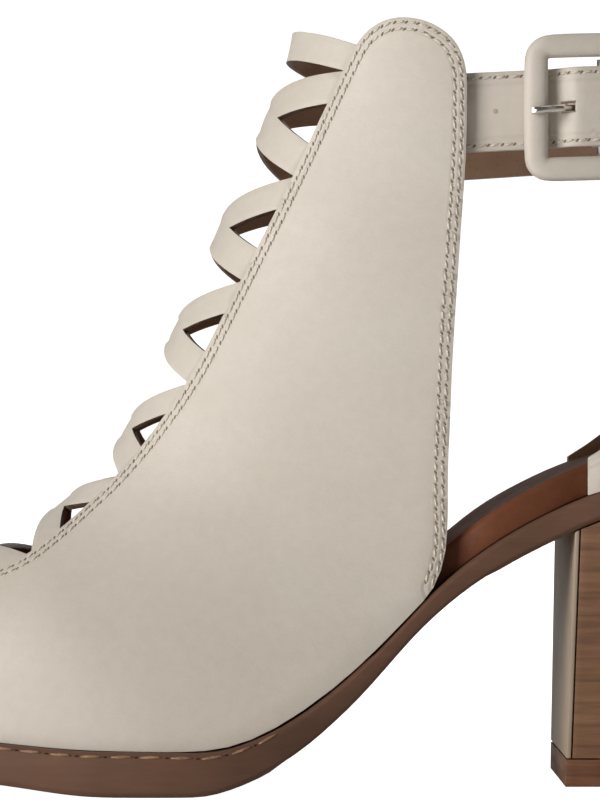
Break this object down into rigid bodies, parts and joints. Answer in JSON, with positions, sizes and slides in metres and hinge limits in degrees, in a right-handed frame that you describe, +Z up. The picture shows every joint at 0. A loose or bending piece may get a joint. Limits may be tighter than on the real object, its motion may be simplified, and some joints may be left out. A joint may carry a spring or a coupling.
{
  "type": "ankle strap heeled sandal",
  "caption": "Left heeled sandal with a crossed lattice over the instep, an open toe, a closed heel cup, a buckled ankle strap and a stacked block heel.",
  "frame": {"origin": "middle of the heel's resting face, on the floor", "axes": "+Z up from the floor, +X from the toe towards the heel, +Y towards the inner side of the foot"},
  "size_m": [0.231, 0.0846, 0.1533],
  "materials": {
    "upper_leather": "matt stone-coloured smooth leather with a brown lining",
    "footbed_leather": "satin cognac leather",
    "outsole_leather": "waxed dark brown leather",
    "stacked_leather": "stacked and burnished layers",
    "top_lift_rubber": "matt brown",
    "breast_leather": "matt taupe cover",
    "buckle_steel": "polished"
  },
  "bodies": {
    "root": {"outsole": "outsole_leather", "footbed": "footbed_leather", "heel_block": "stacked_leather", "top_lift": "top_lift_rubber", "heel_breast_cover": "breast_leather", "upper": "upper_leather", "counter": "upper_leather", "ankle_strap_holed": "upper_leather", "ankle_strap_wrap": "upper_leather", "strap_keeper": "upper_leather", "buckle_frame": "upper_leather", "buckle_centre_bar": "buckle_steel", "buckle_prong": "buckle_steel"}
  },
  "joints": []
}
